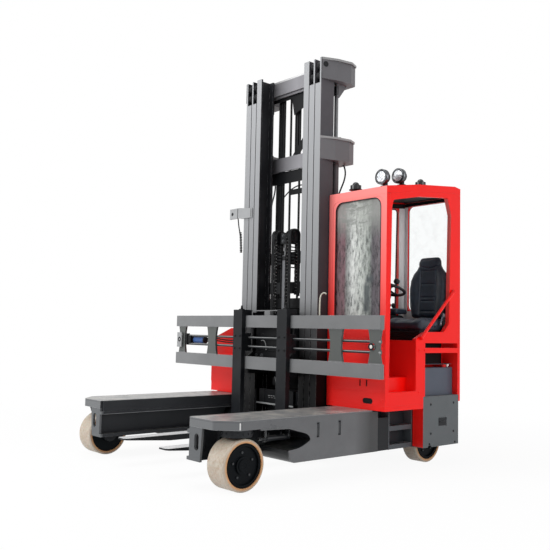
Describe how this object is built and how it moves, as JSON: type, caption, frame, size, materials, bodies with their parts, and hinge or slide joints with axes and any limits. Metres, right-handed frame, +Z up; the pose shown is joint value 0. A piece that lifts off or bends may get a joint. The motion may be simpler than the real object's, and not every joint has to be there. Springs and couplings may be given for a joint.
{
  "type": "multidirectional forklift",
  "caption": "Electric reach forklift with steered wheels under two straddle arms, a three-stage mast, a wide fork positioner carriage and a side cab.",
  "frame": {"origin": "on the floor under the middle of the truck, centred between arm tips and rear bumper", "axes": "+Z up, the arms and forks point along -Y, +X is the cab side"},
  "size_m": [2.674, 2.476, 3.45],
  "materials": {
    "frame_grey": "semi-gloss paint",
    "deck_grey": "textured paint",
    "panel_grey": "semi-gloss paint",
    "frame_dark": "satin paint",
    "body_red": "gloss paint",
    "glass": "clear",
    "bar_black": "satin paint",
    "cover_grey": "satin paint",
    "box_grey": "satin paint",
    "seat_cloth": "woven cloth",
    "plastic_black": "moulded",
    "lamp_black": "moulded",
    "mast_grey": "satin paint",
    "mast_dark": "satin paint",
    "chrome": "polished",
    "chain_steel": "oiled",
    "bar_grey": "satin paint",
    "fork_black": "satin paint, worn on the blades",
    "tread": "cast polyurethane",
    "hub_black": "satin paint"
  },
  "bodies": {
    "chassis": {"arm_left": "frame_grey", "arm_right": "frame_grey", "decks": "deck_grey", "side_panels": "panel_grey", "sills": "frame_dark", "rear_frame": "frame_dark", "step_ladder": "frame_dark", "cab_floor": "body_red", "seat_pedestal": "body_red", "cab_front": "body_red", "cab_door_side": "body_red", "cab_mast_side": "body_red", "cab_rear": "body_red", "cab_roof": "body_red", "windscreen": "glass", "cab_windows": "glass", "guard_bar": "body_red", "wheel_covers": "cover_grey", "equipment_box": "box_grey", "battery_housing": "body_red", "battery": "box_grey", "pump_housing": "body_red", "seat_base": "bar_black", "seat_cushion": "seat_cloth", "seat_backrest": "seat_cloth", "steering_column": "plastic_black", "control_console": "plastic_black", "work_lamps": "lamp_black", "roof_domes": "plastic_black"},
    "battery_lid": {"battery_lid": "body_red"},
    "steering_wheel": {"steering_wheel": "plastic_black"},
    "mast_outer": {"mast_outer_rails": "mast_grey", "mast_outer_cross": "mast_dark", "lift_cylinders": "mast_dark"},
    "mast_mid": {"mast_mid_rails": "mast_grey", "mast_mid_cross": "mast_dark", "lift_rods": "chrome"},
    "mast_inner": {"mast_inner_rails": "mast_grey", "mast_inner_cross": "mast_dark", "free_lift_cylinder": "mast_grey"},
    "crosshead": {"crosshead": "mast_dark", "lift_chains": "chain_steel"},
    "fork_carriage": {"fork_carriage": "mast_dark"},
    "positioner": {"positioner_frame": "bar_grey", "positioner_spindles": "chrome"},
    "fork_left": {"fork_left": "fork_black"},
    "fork_right": {"fork_right": "fork_black"},
    "knuckle_front_left": {"knuckle_front_left": "bar_black"},
    "wheel_front_left": {"tyre_front_left": "tread", "hub_front_left": "hub_black"},
    "knuckle_front_right": {"knuckle_front_right": "bar_black"},
    "wheel_front_right": {"tyre_front_right": "tread", "hub_front_right": "hub_black"},
    "knuckle_rear_left": {"knuckle_rear_left": "bar_black"},
    "wheel_rear_left": {"tyre_rear_left": "tread", "hub_rear_left": "hub_black"},
    "knuckle_rear_right": {"knuckle_rear_right": "bar_black"},
    "wheel_rear_right": {"tyre_rear_right": "tread", "hub_rear_right": "hub_black"}
  },
  "joints": [
    {"name": "steer_front_left", "type": "hinge", "parent": "chassis", "child": "knuckle_front_left", "pos_m": [0.927, -1.048, 0.39], "axis": [0, 0, 1], "range_deg": [-95, 95]},
    {"name": "roll_front_left", "type": "hinge", "parent": "knuckle_front_left", "child": "wheel_front_left", "pos_m": [0.927, -1.048, 0.1775], "axis": [1, 0, 0], "continuous": true},
    {"name": "steer_front_right", "type": "hinge", "parent": "chassis", "child": "knuckle_front_right", "pos_m": [-0.927, -1.048, 0.39], "axis": [0, 0, 1], "range_deg": [-95, 95]},
    {"name": "roll_front_right", "type": "hinge", "parent": "knuckle_front_right", "child": "wheel_front_right", "pos_m": [-0.927, -1.048, 0.1775], "axis": [1, 0, 0], "continuous": true},
    {"name": "steer_rear_left", "type": "hinge", "parent": "chassis", "child": "knuckle_rear_left", "pos_m": [0.94, 0.974, 0.39], "axis": [0, 0, 1], "range_deg": [-95, 95]},
    {"name": "roll_rear_left", "type": "hinge", "parent": "knuckle_rear_left", "child": "wheel_rear_left", "pos_m": [0.94, 0.974, 0.1775], "axis": [1, 0, 0], "continuous": true},
    {"name": "steer_rear_right", "type": "hinge", "parent": "chassis", "child": "knuckle_rear_right", "pos_m": [-0.94, 0.974, 0.39], "axis": [0, 0, 1], "range_deg": [-95, 95]},
    {"name": "roll_rear_right", "type": "hinge", "parent": "knuckle_rear_right", "child": "wheel_rear_right", "pos_m": [-0.94, 0.974, 0.1775], "axis": [1, 0, 0], "continuous": true},
    {"name": "lid_hinge", "type": "hinge", "parent": "chassis", "child": "battery_lid", "pos_m": [-0.56, 0.752, 1.106], "axis": [0, 1, 0], "range_deg": [0, 85]},
    {"name": "steering_wheel_turn", "type": "hinge", "parent": "chassis", "child": "steering_wheel", "pos_m": [0.85, 0.602, 1.44], "axis": [0, 0.296, 0.9552], "continuous": true},
    {"name": "mast_reach", "type": "slide", "parent": "chassis", "child": "mast_outer", "axis": [0, -1, 0], "range_m": [0, 0.95]},
    {"name": "mast_lift", "type": "slide", "parent": "mast_outer", "child": "mast_mid", "axis": [0, 0, 1], "range_m": [0, 2.2]},
    {"name": "inner_lift", "type": "slide", "parent": "mast_mid", "child": "mast_inner", "axis": [0, 0, 1], "range_m": [0, 2.2]},
    {"name": "carriage_lift", "type": "slide", "parent": "mast_inner", "child": "fork_carriage", "axis": [0, 0, 1], "range_m": [-0.13, 2]},
    {"name": "crosshead_lift", "type": "slide", "parent": "mast_inner", "child": "crosshead", "axis": [0, 0, 1], "range_m": [-0.065, 1], "deforming": ["lift_chains"]},
    {"name": "carriage_tilt", "type": "hinge", "parent": "fork_carriage", "child": "positioner", "pos_m": [0, 0.052, 0.8], "axis": [1, 0, 0], "range_deg": [-4, 2]},
    {"name": "fork_left_shift", "type": "slide", "parent": "positioner", "child": "fork_left", "axis": [1, 0, 0], "range_m": [-0.19, 0.235]},
    {"name": "fork_right_shift", "type": "slide", "parent": "positioner", "child": "fork_right", "axis": [1, 0, 0], "range_m": [-0.235, 0.19]}
  ],
  "couplings": [
    {"joint": "inner_lift", "follows": "mast_lift", "ratio": 1},
    {"joint": "crosshead_lift", "follows": "carriage_lift", "ratio": 0.5},
    {"joint": "fork_right_shift", "follows": "fork_left_shift", "ratio": -1}
  ]
}
